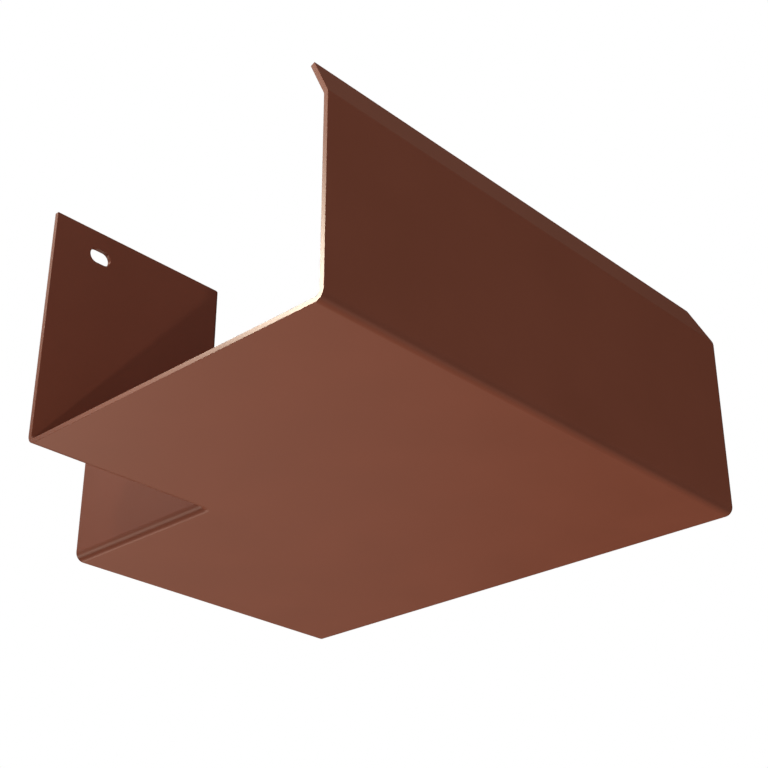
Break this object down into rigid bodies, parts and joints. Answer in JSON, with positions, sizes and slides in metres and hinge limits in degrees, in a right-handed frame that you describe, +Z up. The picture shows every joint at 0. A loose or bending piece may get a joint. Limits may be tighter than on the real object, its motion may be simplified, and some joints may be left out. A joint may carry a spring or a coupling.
{
  "type": "external gutter corner",
  "caption": "One-piece coated sheet-metal corner that turns a box gutter round the outside corner of a building, with open ends, inward-leaning front lips and slotted back walls.",
  "frame": {"origin": "the building's corner, where the planes of the two back walls' building faces meet, at the level of the sole's underside", "axes": "+Z up, out of the open top; one leg runs along -X with its back wall's building face looking along +Y, and its mirror image runs along +Y with its building face looking along -X"},
  "size_m": [0.237, 0.237, 0.102],
  "materials": {
    "coated_sheet": "satin red-brown powder coat"
  },
  "bodies": {
    "root": {"gutter_corner": "coated_sheet"}
  },
  "joints": []
}
